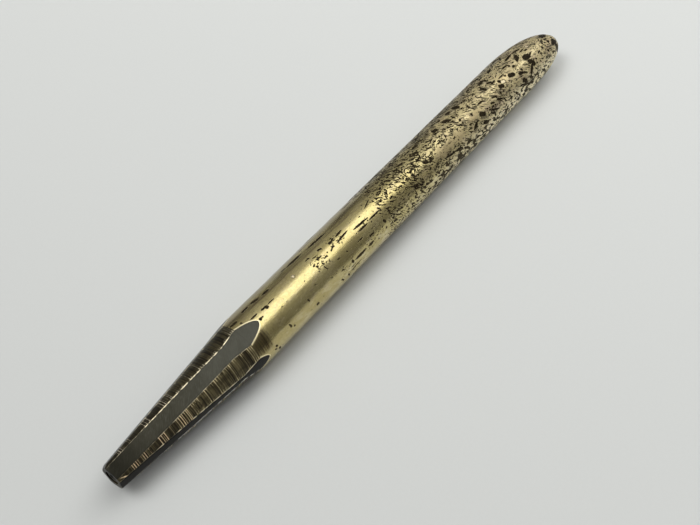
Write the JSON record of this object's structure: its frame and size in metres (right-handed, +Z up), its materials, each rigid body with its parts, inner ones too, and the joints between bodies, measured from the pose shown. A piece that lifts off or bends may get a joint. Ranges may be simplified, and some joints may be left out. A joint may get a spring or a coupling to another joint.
{
  "type": "mechanical pencil",
  "caption": "Slim round brass pencil with a long faceted cone nose that twists to feed a thick lead, and a bullet-shaped closed rear.",
  "frame": {"origin": "bottom centre of the bounding box, under the middle of the pencil, where the barrel touches the surface it lies on", "axes": "+X along the pencil from the writing tip to the closed rear, +Z up, away from the surface it lies on"},
  "size_m": [0.1298, 0.01, 0.01],
  "materials": {
    "barrel_brass": "worn, polished and pitted",
    "nose_brass": "blackened, ground flats with worn bright edges",
    "inner_brass": "turned",
    "steel": "drawn",
    "graphite": "matt graphite composite"
  },
  "bodies": {
    "barrel": {"barrel": "barrel_brass", "front_bush": "inner_brass", "spiral_housing": "inner_brass", "drive_spiral": "steel", "rear_bush": "inner_brass", "front_spring_washer": "steel"},
    "nose": {"nose_cone": "nose_brass", "tip_liner": "steel", "nose_washer": "steel", "guide_tube": "inner_brass", "preload_spring": "steel", "rear_spring_washer": "steel", "tail_collar": "inner_brass", "guide_end_plug": "inner_brass", "tail_pin": "steel"},
    "carrier": {"lead_carrier": "inner_brass", "follower_pin": "steel", "push_rod": "steel", "lead_cup": "inner_brass", "lead": "graphite"}
  },
  "joints": [
    {"name": "nose_twist", "type": "hinge", "parent": "barrel", "child": "nose", "pos_m": [-0.0362, 0, 0.00499], "axis": [-1, 0, 0], "range_deg": [0, 3780]},
    {"name": "lead_feed", "type": "slide", "parent": "nose", "child": "carrier", "axis": [-1, 0, 0], "range_m": [0, 0.0421]}
  ],
  "couplings": [
    {"joint": "lead_feed", "follows": "nose_twist", "m_per_rad": 0.00063662}
  ]
}
